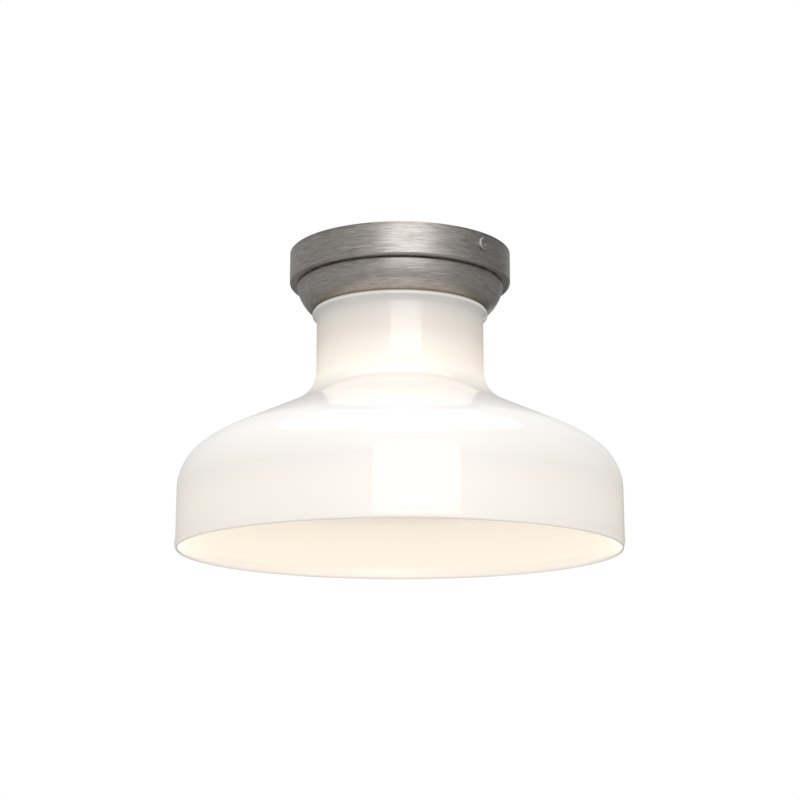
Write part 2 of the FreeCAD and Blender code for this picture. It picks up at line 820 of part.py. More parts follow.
os.makedirs("parts", exist_ok=True)
export("canopy", canopy())
export("shade_holder", shade_holder())
export("mounting_plate", mounting_plate())
export("ground_screw", ground_screw())
export("nipple", nipple())
export("nipple_nut", nipple_nut())
export("lock_washer", lock_washer())
export("lampholder_cap", lampholder_cap())
export("lampholder_body", lampholder_body())
export("lampholder_screws", lampholder_screws())
export("screw_shell", screw_shell())
export("centre_contact", centre_contact())
export("terminal_plates", terminal_plates())
export("terminal_screws", terminal_screws())
export("line_lead", lead(180))
export("neutral_lead", lead(0))
export("line_connector", connector(180))
export("neutral_connector", connector(0))
export("side_screw_right", side_screw(0))
export("side_screw_left", side_screw(180))
export("side_washer_right", side_washer(0))
export("side_washer_left", side_washer(180))
export("shade", shade())
export("upper_gasket", gasket(cap_bottom))
export("lower_gasket", gasket(flange_bottom))
export("shade_ring", shade_ring())
export("bulb_glass", bulb_glass())
export("bulb_base", bulb_base())
export("bulb_insulator", bulb_insulator())
export("bulb_contact", bulb_contact())
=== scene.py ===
import json
import math

import bmesh
import bpy
from mathutils import Matrix, Vector


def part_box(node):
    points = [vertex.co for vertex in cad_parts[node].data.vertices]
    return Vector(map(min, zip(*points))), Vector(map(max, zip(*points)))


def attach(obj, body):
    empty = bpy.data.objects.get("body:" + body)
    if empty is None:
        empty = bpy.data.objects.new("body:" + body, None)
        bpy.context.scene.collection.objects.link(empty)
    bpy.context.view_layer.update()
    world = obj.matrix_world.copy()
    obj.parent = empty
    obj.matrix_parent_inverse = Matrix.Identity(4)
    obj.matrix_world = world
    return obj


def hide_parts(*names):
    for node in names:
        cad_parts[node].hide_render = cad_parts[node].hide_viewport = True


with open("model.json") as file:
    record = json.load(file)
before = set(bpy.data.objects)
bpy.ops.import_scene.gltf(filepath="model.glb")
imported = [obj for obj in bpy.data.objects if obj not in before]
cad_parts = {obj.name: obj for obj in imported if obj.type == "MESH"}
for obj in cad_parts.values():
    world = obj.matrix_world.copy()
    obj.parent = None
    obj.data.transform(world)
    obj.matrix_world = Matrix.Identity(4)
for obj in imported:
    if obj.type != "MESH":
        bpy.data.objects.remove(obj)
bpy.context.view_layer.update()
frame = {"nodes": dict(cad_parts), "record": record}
nodes = frame["nodes"]
record = frame["record"]
bodyOf = {node: body for body, members in record["behaviour"]["bodies"].items() for node in members}
slotOf = {part["node"]: part["material_slot"] for part in record["subparts"]}
mm = 0.001
print("frame loaded:", len(nodes), "nodes")


def reach(node):
    # a round node's radius, in millimetres
    return round(max(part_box(node)[1][:2]) / mm, 2)


def topOf(node):
    return round(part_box(node)[1][2] / mm, 2)


def bottomOf(node):
    return round(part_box(node)[0][2] / mm, 2)


class Field:
    # a socket that takes part in Python sums; each sum adds its own Math node
    def __init__(self, work, socket):
        self.work = work
        self.socket = socket

    def output(self, name):
        return Field(self.work, self.socket.node.outputs[name])

    def combine(self, operation, other, swapped=False):
        first, second = (other, self) if swapped else (self, other)
        return self.work.add("ShaderNodeMath", {"operation": operation}, {0: first, 1: second})

    def __add__(self, other):
        return self.combine("ADD", other)

    def __radd__(self, other):
        return self.combine("ADD", other, True)

    def __sub__(self, other):
        return self.combine("SUBTRACT", other)

    def __rsub__(self, other):
        return self.combine("SUBTRACT", other, True)

    def __mul__(self, other):
        return self.combine("MULTIPLY", other)

    def __rmul__(self, other):
        return self.combine("MULTIPLY", other, True)

    def __truediv__(self, other):
        return self.combine("DIVIDE", other)

    def __rtruediv__(self, other):
        return self.combine("DIVIDE", other, True)


class NodeWork:
    # adds nodes to one tree, shader or geometry
    def __init__(self, tree):
        self.tree = tree

    def add(self, kind, settings=None, sockets=None, output=0):
        node = self.tree.nodes.new(kind)
        for name, value in (settings or {}).items():
            if name == "stops":
                self.setStops(node.color_ramp, value)
            else:
                setattr(node, name, value)
        for key, value in (sockets or {}).items():
            if isinstance(value, Field):
                self.tree.links.new(value.socket, node.inputs[key])
            else:
                node.inputs[key].default_value = value
        return Field(self, node.outputs[output]) if node.outputs else node

    def setStops(self, ramp, stops):
        while len(ramp.elements) < len(stops):
            ramp.elements.new(1.0)
        for element, (place, colour) in zip(ramp.elements, stops):
            element.position = place
            element.color = colour if len(colour) == 4 else (*colour, 1.0)


principledSocket = {
    "baseColor": "Base Color", "metallic": "Metallic", "roughness": "Roughness", "normal": "Normal",
    "anisotropic": "Anisotropic", "anisotropicRotation": "Anisotropic Rotation",
    "coatWeight": "Coat Weight", "coatRoughness": "Coat Roughness",
    "emissionColor": "Emission Color", "emissionStrength": "Emission Strength",
    "specularIORLevel": "Specular IOR Level",
}
mixShare, mixFirst, mixSecond, mixColour = 0, 6, 7, 2  # places of a Mix node's sockets for colours


class Finish(NodeWork):
    # one material, drawn from the piece's own Object coordinates
    def __init__(self, name):
        self.material = bpy.data.materials.new(name)
        self.material.use_nodes = True
        super().__init__(self.material.node_tree)
        self.tree.nodes.clear()
        self.place = self.add("ShaderNodeTexCoord", output="Object")
        parts = self.add("ShaderNodeSeparateXYZ", {}, {0: self.place})
        self.x, self.y, self.z = parts, parts.output("Y"), parts.output("Z")

    def noise(self, scale=1.0, detail=2.0, roughness=0.5, vector=None):
        return self.add("ShaderNodeTexNoise", {}, {
            "Vector": vector or self.place, "Scale": scale, "Detail": detail, "Roughness": roughness})

    def spread(self, value, low, high, toLow=0.0, toHigh=1.0):
        return self.add("ShaderNodeMapRange", {}, {
            "Value": value, "From Min": low, "From Max": high, "To Min": toLow, "To Max": toHigh})

    def attribute(self, name):
        return self.add("ShaderNodeAttribute", {"attribute_name": name}, output="Fac")

    def blend(self, share, first, second, kind="MIX"):
        settings = {"data_type": "RGBA", "blend_type": kind}
        sockets = {mixShare: share, mixFirst: first, mixSecond: second}
        return self.add("ShaderNodeMix", settings, sockets, output=mixColour)

    def times(self, first, second):
        return self.blend(1.0, first, second, "MULTIPLY")

    def scaled(self, colour, share):
        return self.add("ShaderNodeVectorMath", {"operation": "SCALE"}, {0: colour, "Scale": share})

    def varied(self, middle, *parts):
        # a middle value that noises move up and down; parts = (noise, amount)
        for noise, amount in parts:
            middle = middle + (noise - 0.5) * amount
        return middle

    def ramp(self, stops):
        # by height; stops = (millimetres, colour or share), from the lowest up
        heights, colours = zip(*stops)
        low, high = heights[0], heights[-1]
        colours = [colour if isinstance(colour, tuple) else (colour,) * 3 for colour in colours]
        places = [(height - low) / (high - low) for height in heights]
        height = self.spread(self.z, low * mm, high * mm)
        return self.add("ShaderNodeValToRGB", {"stops": list(zip(places, colours))}, {0: height})

    def vector(self, x, y, z):
        return self.add("ShaderNodeCombineXYZ", {}, {0: x, 1: y, 2: z})

    def radius(self):
        flat = self.vector(self.x, self.y, 0.0)
        return self.add("ShaderNodeVectorMath", {"operation": "LENGTH"}, {0: flat}, output="Value")

    def bump(self, height, strength, distance):
        return self.add("ShaderNodeBump", {}, {
            "Height": height, "Strength": strength, "Distance": distance})

    def done(self, **sockets):
        named = {principledSocket[key]: value for key, value in sockets.items()}
        surface = self.add("ShaderNodeBsdfPrincipled", {}, named)
        self.add("ShaderNodeOutputMaterial", {}, {"Surface": surface})
        return self.material


def rgba(red, green, blue):
    return (red, green, blue, 1.0)


pureWhite = rgba(1.0, 1.0, 1.0)


nickelLook = {
    "dark": rgba(0.325, 0.30, 0.275), "light": rgba(0.645, 0.61, 0.575),
    "streakThickness": 0.00048, "streakTurns": 7.0, "streakEdges": (0.34, 0.66), "axisGuard": 1e-4,
    "bandScale": 0.16, "bandShare": 0.15, "soilScale": 22.0,
    "roughness": 0.34, "streakRoughness": 0.10, "soilRoughness": 0.06,
    "anisotropic": 0.35, "anisotropicTurn": 0.25, "bumpStrength": 0.35, "bumpDepth": 0.00004,
    "paintedShade": [  # height in millimetres, share of the bare metal's colour: painted shade in the crease under the canopy and at the holder's mouth, and darker towards the canopy's top edge
        (-42.4, (0.30, 0.28, 0.26)), (-41.9, (0.37, 0.34, 0.31)), (-41.3, (0.64, 0.61, 0.57)),
        (-40.6, (0.82, 0.79, 0.74)), (-38.5, (0.88, 0.84, 0.79)), (-36.0, 1.0), (-28.0, 1.0),
        (-26.0, 0.88), (-24.0, 0.80), (-23.0, 1.0), (-22.32, 1.0), (-22.27, 0.70), (-21.9, 0.62),
        (-21.55, 1.0), (-2.2, 1.0), (-1.4, 0.84), (0.0, 0.80)],
}


def brushedNickel():
    # fine lines that run round the axis, as the lathe's abrasive leaves them
    look = nickelLook
    work = Finish("brushedNickel")
    radius = work.radius()
    across = (work.z + radius) / look["streakThickness"]
    around = look["streakTurns"] / (radius + look["axisGuard"])
    x, y = work.x * around, work.y * around
    lines = work.noise(detail=3.0, roughness=0.6, vector=work.vector(x, y, across))
    bands = work.noise(vector=work.vector(x, y, across * look["bandScale"]))
    streak = work.spread(lines * (1 - look["bandShare"]) + bands * look["bandShare"], *look["streakEdges"])
    soil = work.noise(look["soilScale"], detail=3.0)
    colour = work.blend(streak, look["dark"], look["light"])
    return work.done(
        # the height ramp paints shade into the crease and the holder's mouth
        baseColor=work.times(colour, work.ramp(look["paintedShade"])), metallic=1.0,
        roughness=work.varied(
            look["roughness"], (streak, look["streakRoughness"]), (soil, look["soilRoughness"])),
        anisotropic=look["anisotropic"], anisotropicRotation=look["anisotropicTurn"],
        normal=work.bump(lines, look["bumpStrength"], look["bumpDepth"]))


opalLook = {
    "glass": rgba(0.92, 0.895, 0.875), "cord": rgba(0.935, 0.91, 0.89), "cordScale": 14.0, "cordGlow": 0.04,
    "outsidePaintedLight": [  # height in millimetres, painted light standing in for the bulb's light through the wall there, with a painted highlight line on the lip's top and painted brightening at the rim
        (-210.3, (0.20, 0.18, 0.155)), (-209.7, (0.30, 0.27, 0.235)), (-209.0, (0.35, 0.315, 0.275)),
        (-208.2, (0.32, 0.28, 0.24)), (-207.0, (0.28, 0.24, 0.20)), (-200.0, (0.31, 0.27, 0.225)),
        (-186.0, (0.32, 0.28, 0.225)), (-171.0, (0.275, 0.25, 0.215)), (-155.0, (0.30, 0.285, 0.265)),
        (-136.0, (0.355, 0.355, 0.345)), (-124.0, (0.21, 0.20, 0.185)), (-112.0, (0.17, 0.15, 0.13)),
        (-104.0, (0.28, 0.245, 0.205)), (-93.0, (0.43, 0.385, 0.305)), (-84.0, (0.345, 0.29, 0.205)),
        (-76.0, (0.285, 0.225, 0.165)), (-67.0, (0.18, 0.135, 0.085)), (-59.0, (0.12, 0.09, 0.05)),
        (-51.0, (0.075, 0.055, 0.03)), (-46.0, (0.0, 0.0, 0.0)), (-44.7, (0.03, 0.03, 0.03)),
        (-43.8, (0.36, 0.35, 0.33)), (-41.0, (0.33, 0.31, 0.27))],
    # the inner wall's painted light, with painted shade below the shoulder
    "insidePaintedLight": [
        (-209.5, (0.34, 0.305, 0.235)), (-195.0, (0.28, 0.245, 0.195)), (-185.0, (0.26, 0.23, 0.18)),
        (-172.0, (0.205, 0.175, 0.145)), (-168.0, (0.165, 0.145, 0.12)), (-164.0, (0.085, 0.07, 0.05)),
        (-158.0, (0.09, 0.075, 0.05)), (-130.0, (0.20, 0.17, 0.12)), (-60.0, (0.30, 0.25, 0.18)),
        (-40.0, (0.08, 0.06, 0.04))],
    "shade": [  # painted shade: the rim's edge and the lip under the holder are darker
        (-210.3, 0.86), (-208.5, 0.97), (-206.5, 1.0), (-57.0, 1.0), (-50.0, 0.93), (-43.0, 0.72)],
    "roughness": 0.05, "haze": 0.02, "hazeScale": 30.0, "specular": 1.0,
    "waveScale": 9.0, "waveStrength": 0.10, "waveDepth": 0.0006,
}


def opalGlass():
    # milk glass: glossy skin, faint cords in the melt, and painted light in place of the bulb's light
    # coming through it, with painted shade on the rim and the lip
    look = opalLook
    work = Finish("opalGlass")
    cords = work.noise(look["cordScale"])
    outside, inside = work.ramp(look["outsidePaintedLight"]), work.ramp(look["insidePaintedLight"])
    glow = work.blend(work.attribute("inside"), outside, inside)
    wave = work.noise(look["waveScale"], detail=1.0)
    return work.done(
        baseColor=work.times(work.blend(cords, look["glass"], look["cord"]), work.ramp(look["shade"])),
        roughness=look["roughness"] + work.noise(look["hazeScale"]) * look["haze"],
        specularIORLevel=look["specular"],
        emissionColor=work.scaled(glow, work.varied(1.0, (cords, look["cordGlow"]))), emissionStrength=1.0,
        normal=work.bump(wave, look["waveStrength"], look["waveDepth"]))


bulbLook = {
    "glass": rgba(0.90, 0.88, 0.84), "frost": rgba(0.95, 0.94, 0.91), "grainScale": 260.0,
    "glow": (1.0, 0.90, 0.74), "glowLevel": 1.6, "glowFrom": -0.066, "glowTo": -0.09, "neckGlow": 0.35,
    "grainGlow": 0.12, "roughness": 0.35, "grainRoughness": 0.15, "bumpStrength": 0.1, "bumpDepth": 0.0001,
}


def frostedBulb():
    # the globe glows evenly and its neck less
    look = bulbLook
    work = Finish("frostedBulb")
    grain = work.noise(look["grainScale"], detail=3.0)
    height = work.spread(work.z, look["glowFrom"], look["glowTo"], look["neckGlow"], 1.0)
    shine = height * work.varied(1.0, (grain, look["grainGlow"]))
    return work.done(
        baseColor=work.blend(grain, look["glass"], look["frost"]),
        roughness=look["roughness"] + grain * look["grainRoughness"],
        emissionColor=work.scaled(look["glow"], shine), emissionStrength=look["glowLevel"],
        normal=work.bump(grain, look["bumpStrength"], look["bumpDepth"]))


zincLook = {
    "clear": rgba(0.66, 0.67, 0.68), "clearStain": rgba(0.56, 0.55, 0.50),
    "green": rgba(0.05, 0.30, 0.10), "greenStain": rgba(0.03, 0.20, 0.07),
    "blotchScale": 90.0, "blotchEdges": (0.35, 0.65), "rolledAlong": 60.0, "rolledAcross": 900.0,
    "roughness": 0.30, "blotchRoughness": 0.14, "rolledRoughness": 0.12,
    "bumpStrength": 0.18, "bumpDepth": 0.00003,
}


def zincPlate(name, tint, stain):
    # blotchy passivated zinc over rolled steel
    look = zincLook
    work = Finish(name)
    blotch = work.spread(work.noise(look["blotchScale"], detail=4.0, roughness=0.65), *look["blotchEdges"])
    along, across = look["rolledAlong"], look["rolledAcross"]
    grain = work.vector(work.x * along, work.y * across, work.z * across)
    rolled = work.noise(detail=3.0, vector=grain)
    rough = look["roughness"] + blotch * look["blotchRoughness"]
    return work.done(
        baseColor=work.blend(blotch, tint, stain), metallic=1.0,
        roughness=work.varied(rough, (rolled, look["rolledRoughness"])),
        normal=work.bump(rolled, look["bumpStrength"], look["bumpDepth"]))


brassLook = {
    "clean": rgba(0.82, 0.62, 0.30), "tarnished": rgba(0.58, 0.40, 0.17),
    "tarnishScale": 120.0, "tarnishEdges": (0.4, 0.68), "roughness": 0.24, "tarnishRoughness": 0.22,
    "bumpStrength": 0.05, "bumpDepth": 0.00005,
}


def drawnBrass():
    look = brassLook
    work = Finish("drawnBrass")
    tarnish = work.noise(look["tarnishScale"], detail=4.0, roughness=0.6)
    tarnish = work.spread(tarnish, *look["tarnishEdges"])
    return work.done(
        baseColor=work.blend(tarnish, look["clean"], look["tarnished"]), metallic=1.0,
        roughness=look["roughness"] + tarnish * look["tarnishRoughness"],
        normal=work.bump(tarnish, look["bumpStrength"], look["bumpDepth"]))


porcelainLook = {
    "clay": rgba(0.90, 0.885, 0.85), "cloud": rgba(0.85, 0.83, 0.79), "speck": rgba(0.42, 0.36, 0.30),
    "cloudScale": 35.0, "speckScale": 1500.0, "speckEdges": (0.74, 0.80), "speckShare": 0.5,
    "roughness": 0.12, "cloudRoughness": 0.08, "glaze": 0.4, "glazeRoughness": 0.06,
    "bumpStrength": 0.2, "bumpDepth": 0.0004,
}


def glazedPorcelain():
    look = porcelainLook
    work = Finish("glazedPorcelain")
    cloud = work.noise(look["cloudScale"], detail=3.0)
    speck = work.spread(work.noise(look["speckScale"], detail=1.0), *look["speckEdges"])
    clay = work.blend(cloud, look["clay"], look["cloud"])
    return work.done(
        baseColor=work.blend(speck * look["speckShare"], clay, look["speck"]),
        roughness=look["roughness"] + cloud * look["cloudRoughness"],
        coatWeight=look["glaze"], coatRoughness=look["glazeRoughness"],
        normal=work.bump(cloud, look["bumpStrength"], look["bumpDepth"]))


plasticLook = {
    "dyeScale": 45.0, "dyeShare": 0.6, "dyeEdges": (0.35, 0.65),
    "grainRoughness": 0.16, "bumpStrength": 0.22, "bumpDepth": 0.00005,
}
plasticKinds = {
    "blackInsulation": {
        "base": rgba(0.012, 0.012, 0.013), "fleck": rgba(0.03, 0.03, 0.03), "roughness": 0.38,
        "grainScale": 900.0},
    "whiteInsulation": {
        "base": rgba(0.82, 0.82, 0.79), "fleck": rgba(0.90, 0.90, 0.87), "roughness": 0.38,
        "grainScale": 900.0},
    "orangePlastic": {
        "base": rgba(0.80, 0.25, 0.03), "fleck": rgba(0.90, 0.33, 0.06), "roughness": 0.42,
        "grainScale": 900.0},
    "blackPhenolic": {
        "base": rgba(0.014, 0.013, 0.013), "fleck": rgba(0.04, 0.038, 0.036), "roughness": 0.3,
        "grainScale": 900.0},
    "gasketFibre": {
        "base": rgba(0.60, 0.58, 0.53), "fleck": rgba(0.74, 0.72, 0.67), "roughness": 0.75,
        "grainScale": 1400.0},
}


def mouldedPlastic(name):
    # fine moulded skin with a slightly uneven dye
    look = {**plasticLook, **plasticKinds[name]}
    work = Finish(name)
    skin = work.noise(look["grainScale"], detail=3.0, roughness=0.6)
    dye = work.noise(look["dyeScale"], detail=3.0) * look["dyeShare"] + skin * (1 - look["dyeShare"])
    return work.done(
        baseColor=work.blend(work.spread(dye, *look["dyeEdges"]), look["base"], look["fleck"]),
        roughness=work.varied(look["roughness"], (skin, look["grainRoughness"])),
        normal=work.bump(skin, look["bumpStrength"], look["bumpDepth"]))


aluminiumLook = {
    "dark": rgba(0.70, 0.70, 0.69), "light": rgba(0.84, 0.84, 0.83),
    "linesAlong": 40.0, "linesAcross": 3500.0, "roughness": 0.22, "lineRoughness": 0.16,
    "bumpStrength": 0.1, "bumpDepth": 0.00002,
}


def spunAluminium():
    look = aluminiumLook
    work = Finish("spunAluminium")
    along = look["linesAlong"]
    across = (work.z + work.radius()) * look["linesAcross"]
    turned = work.vector(work.x * along, work.y * along, across)
    lines = work.noise(detail=3.0, roughness=0.6, vector=turned)
    return work.done(
        baseColor=work.blend(lines, look["dark"], look["light"]), metallic=1.0,
        roughness=look["roughness"] + lines * look["lineRoughness"],
        normal=work.bump(lines, look["bumpStrength"], look["bumpDepth"]))


finishes = {
    "nickel": brushedNickel(),
    "zinc_steel": zincPlate("zincPlate", zincLook["clear"], zincLook["clearStain"]),
    "green_steel": zincPlate("greenDyedSteel", zincLook["green"], zincLook["greenStain"]),
    "porcelain": glazedPorcelain(),
    "brass": drawnBrass(),
    "black_lead": mouldedPlastic("blackInsulation"),
    "white_lead": mouldedPlastic("whiteInsulation"),
    "connector_plastic": mouldedPlastic("orangePlastic"),
    "opal_glass": opalGlass(),
    "gasket_rubber": mouldedPlastic("gasketFibre"),
    "black_phenolic": mouldedPlastic("blackPhenolic"),
    "frosted_glass": frostedBulb(),
    "aluminium": spunAluminium(),
}
print("finishes made:", len(finishes))


def around(centre, radius, angle):
    return (centre[0] + radius * math.cos(angle), centre[1] + radius * math.sin(angle))


class Outline:
    # a line in the half plane of radius and height, in millimetres; a heading of 0 points outwards
    leastRun = 1e-6
    leastSteps = 3
    holdGap = 0.35
    holdFrom = 1.4

    def __init__(self, radius, height, heading=0.0, arcStep=4.0):
        self.points = [(radius, height)]
        self.heading = heading
        self.arcStep = arcStep

    def goTo(self, radius, height):
        here = Vector(self.points[-1])
        run = Vector((radius, height)) - here
        if run.length < self.leastRun:
            return self
        self.heading = math.degrees(math.atan2(run.y, run.x))
        if run.length > self.holdFrom:  # rows close to both ends keep a straight run's shading straight
            edge = run.normalized() * self.holdGap
            self.points += [tuple(here + edge), tuple(here + run - edge)]
        self.points.append((radius, height))
        return self

    def forward(self, length):
        angle = math.radians(self.heading)
        radius, height = self.points[-1]
        return self.goTo(radius + length * math.cos(angle), height + length * math.sin(angle))

    def turn(self, radius, angle):
        side = 1 if angle > 0 else -1
        normal = math.radians(self.heading + 90 * side)
        centre = around(self.points[-1], radius, normal)
        steps = max(self.leastSteps, math.ceil(abs(angle) / self.arcStep))
        for step in range(1, steps + 1):
            swept = normal + math.pi + math.radians(angle) * step / steps
            self.points.append(around(centre, radius, swept))
        self.heading += angle
        return self

    def threaded(self, height, rows):
        # a straight run to this height, cut into rows for a thread
        radius, start = self.points[-1]
        for row in range(1, rows + 1):
            self.points.append((radius, start + (height - start) * row / rows))
        return self

    def closed(self):
        return self.points + self.points[:1]


def spinTree():
    # turns an outline's points round Z; the points' wave makes a formed thread
    tree = bpy.data.node_groups.new("spunForm", "GeometryNodeTree")
    inputs = {"Outline": "Geometry", "Columns": "Int", "Turn": "Float", "Thread Pitch": "Float",
              "Weld Distance": "Float", "Finish": "Material"}
    for name, kind in inputs.items():
        tree.interface.new_socket(name, in_out="INPUT", socket_type="NodeSocket" + kind)
    tree.interface.new_socket("Form", in_out="OUTPUT", socket_type="NodeSocketGeometry")
    work = NodeWork(tree)
    given = work.add("NodeGroupInput")

    def maths(operation, value):
        return work.add("ShaderNodeMath", {"operation": operation}, {0: value})

    columns = given.output("Columns")
    size = work.add("GeometryNodeAttributeDomainSize", {"component": "MESH"}, {"Geometry": given})
    grid = work.add("GeometryNodeMeshGrid", {}, {"Vertices X": size, "Vertices Y": columns})
    index = work.add("GeometryNodeInputIndex")
    row = maths("FLOOR", (index + 0.5) / columns)
    column = index - row * columns
    spot = work.add("GeometryNodeSampleIndex", {"data_type": "FLOAT_VECTOR", "domain": "POINT"},
                    {"Geometry": given, "Value": work.add("GeometryNodeInputPosition"), "Index": row})

    def sampled(name):
        values = work.add("GeometryNodeInputNamedAttribute", {"data_type": "FLOAT"}, {"Name": name})
        return work.add("GeometryNodeSampleIndex", {"data_type": "FLOAT", "domain": "POINT"},
                        {"Geometry": given, "Value": values, "Index": row})

    parts = work.add("ShaderNodeSeparateXYZ", {}, {0: spot})
    height = parts.output("Z")
    angle = column * given.output("Turn")
    phase = height * (2 * math.pi) / given.output("Thread Pitch") - angle
    dip = sampled("wave") * (0.5 - 0.5 * maths("COSINE", phase))
    radius = parts - dip
    place = work.add("ShaderNodeCombineXYZ", {}, {
        0: radius * maths("COSINE", angle), 1: radius * maths("SINE", angle), 2: height})
    form = work.add("GeometryNodeSetPosition", {}, {"Geometry": grid, "Position": place})
    form = work.add("GeometryNodeStoreNamedAttribute", {"data_type": "FLOAT", "domain": "POINT"},
                    {"Geometry": form, "Name": "inside", "Value": sampled("inside")})
    form = work.add("GeometryNodeMergeByDistance", {},
                    {"Geometry": form, "Distance": given.output("Weld Distance")})
    form = work.add("GeometryNodeRealizeInstances", {}, {"Geometry": form})
    form = work.add("GeometryNodeSetMaterial", {}, {"Geometry": form, "Material": given.output("Finish")})
    work.add("NodeGroupOutput", {}, {0: form})
    return tree


spunForm = spinTree()


meshing = {  # distances in metres, the thread band's skin in millimetres
    "weld": 1e-6, "thinnest": 1e-7, "seamWeld": 2e-6, "bandSkin": 0.01, "sharpAngle": 32.0,
    "drillSides": 48,
}


def polished(mesh, sharpAngle=meshing["sharpAngle"]):
    # joins seams, turns faces outwards and shades smooth between sharp edges
    form = bmesh.new()
    form.from_mesh(mesh)
    bmesh.ops.remove_doubles(form, verts=form.verts, dist=meshing["weld"])
    bmesh.ops.dissolve_degenerate(form, edges=form.edges, dist=meshing["thinnest"])
    bmesh.ops.recalc_face_normals(form, faces=form.faces)
    if form.calc_volume(signed=True) < 0:
        bmesh.ops.reverse_faces(form, faces=form.faces)
    form.to_mesh(mesh)
    form.free()
    mesh.shade_smooth()
    mesh.set_sharp_from_angle(angle=math.radians(sharpAngle))


def linked(name, data):
    piece = bpy.data.objects.new(name, data)
    bpy.context.scene.collection.objects.link(piece)
    return piece


def applied(piece):
    # the evaluated object as a plain mesh, with its modifiers gone
    bpy.context.view_layer.update()
    evaluated = piece.evaluated_get(bpy.context.evaluated_depsgraph_get())
    mesh = bpy.data.meshes.new_from_object(evaluated)
    piece.modifiers.clear()
    piece.data = mesh
    return piece


def threadBand(radius, low, high, depth, pitch, wall=0.0):
    # where a thread runs: the radii and heights it takes in, how deep it is and its pitch
    inner, outer = radius - wall - meshing["bandSkin"], radius + meshing["bandSkin"]
    return {"radii": (inner, outer), "heights": (low, high), "depth": depth, "pitch": pitch}


def threadDepth(band, radius, height):
    # full depth within the band, running out over one pitch at both ends
    inner, outer = band["radii"]
    low, high = band["heights"]
    if inner <= radius <= outer and low <= height <= high:
        return band["depth"] * min(1.0, (height - low) / band["pitch"], (high - height) / band["pitch"])
    return 0.0


def spun(name, points, slot, steps, thread=None, inside=(0, 0)):
    # points in millimetres; inside = the first and last point that the lamp shines on
    mesh = bpy.data.meshes.new(name)
    spots = [(radius * mm, 0.0, height * mm) for radius, height in points]
    mesh.from_pydata(spots, [(index, index + 1) for index in range(len(points) - 1)], [])
    if thread:
        depths = [threadDepth(thread, radius, height) * mm for radius, height in points]
        mesh.attributes.new("wave", "FLOAT", "POINT").data.foreach_set("value", depths)
    lit = mesh.attributes.new("inside", "FLOAT", "POINT")
    for index in range(*inside):
        lit.data[index].value = 1.0
    piece = linked(name, mesh)
    modifier = piece.modifiers.new("spin", "NODES")
    modifier.node_group = spunForm
    values = {"Columns": steps + 1, "Turn": 2 * math.pi / steps, "Weld Distance": meshing["seamWeld"],
              "Thread Pitch": (thread["pitch"] if thread else 1.0) * mm, "Finish": finishes[slot]}
    for item in spunForm.interface.items_tree:
        if item.name in values:
            modifier[item.identifier] = values[item.name]
    dressed(applied(piece), finishes[slot])
    polished(piece.data)
    return piece


def dressed(piece, finish):
    # one finish on every face
    piece.data.materials.clear()
    piece.data.materials.append(finish)
    return piece


def seat(piece, node):
    # the piece stands for a CAD node and moves with it
    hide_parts(node)
    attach(piece, bodyOf[node])


def cut(piece, cutters):
    # takes the cutters out of a piece that has one finish
    finish = piece.data.materials[0]
    for cutter in cutters:
        modifier = piece.modifiers.new("cut", "BOOLEAN")
        modifier.object = cutter
        modifier.operation = "DIFFERENCE"
        modifier.solver = "EXACT"
    dressed(applied(piece), finish)
    for cutter in cutters:
        bpy.data.objects.remove(cutter)
    return piece


def drill(radius, length, place, rotation):
    form = bmesh.new()
    bmesh.ops.create_cone(
        form, cap_ends=True, segments=meshing["drillSides"], radius1=radius * mm, radius2=radius * mm,
        depth=length * mm)
    return shaped("drill", form, place, rotation)


def bar(size, place, rotation):
    # a block; size in millimetres
    form = bmesh.new()
    bmesh.ops.create_cube(form, size=mm)
    bmesh.ops.scale(form, vec=Vector(size), verts=form.verts)
    return shaped("bar", form, place, rotation)


def shaped(name, form, place, rotation):
    mesh = bpy.data.meshes.new(name)
    form.to_mesh(mesh)
    form.free()
    mesh.transform(Matrix.Translation(Vector(place) * mm) @ rotation.to_4x4())
    return linked(name, mesh)


levels = {  # heights in millimetres, below the ceiling
    "canopyBottom": bottomOf("canopy"), "capBottom": bottomOf("lampholder_cap"), "shadeTop": topOf("shade"),
    "flangeBottom": topOf("lower_gasket"), "socketFloor": topOf("screw_shell"),
    "bodyBottom": bottomOf("lampholder_body"), "baseTop": topOf("bulb_base"),
    "baseBottom": bottomOf("bulb_base"), "bulbBottom": bottomOf("bulb_glass"),
    "holderBottom": -42.05,  # a millimetre lower than the solid's, as the photograph has it
}

glassShape = {
    "radius": reach("shade"), "height": 210.29, "wall": 3.2, "neck": 58.2, "neckEnd": -84.15, "hole": 21.0,
    "collarClearance": 1.4, "collarRound": 3.4,
    "lipOverlap": -0.15, "lipGap": 0.4, "lipHeight": 2.4, "lipRound": 0.9, "lipSweep": 42.0,
    "lipFillet": 2.4,
    "flareRadius": 26.5, "flareAngle": 49.5, "slopeRadius": 48.0, "slopeAngle": 64.75,
    "shoulderRadius": 80.0, "shoulderAngle": 49.7, "wallRadius": 34.9,
    "rimReach": 3.6, "rimFlare": 0.6, "rimFlareHeight": 4.0, "rimSteps": 24,
    "arcStep": 2.5, "steps": 256,
}
holderShape = {
    "topRadius": 72.8, "mouth": 61.2, "bulge": 32.0, "shoulder": 1.6, "wall": 0.8, "hole": 5.3,
    "shoulderSteps": 6, "bulgeSteps": 16, "rimSteps": 6, "steps": 256,
}


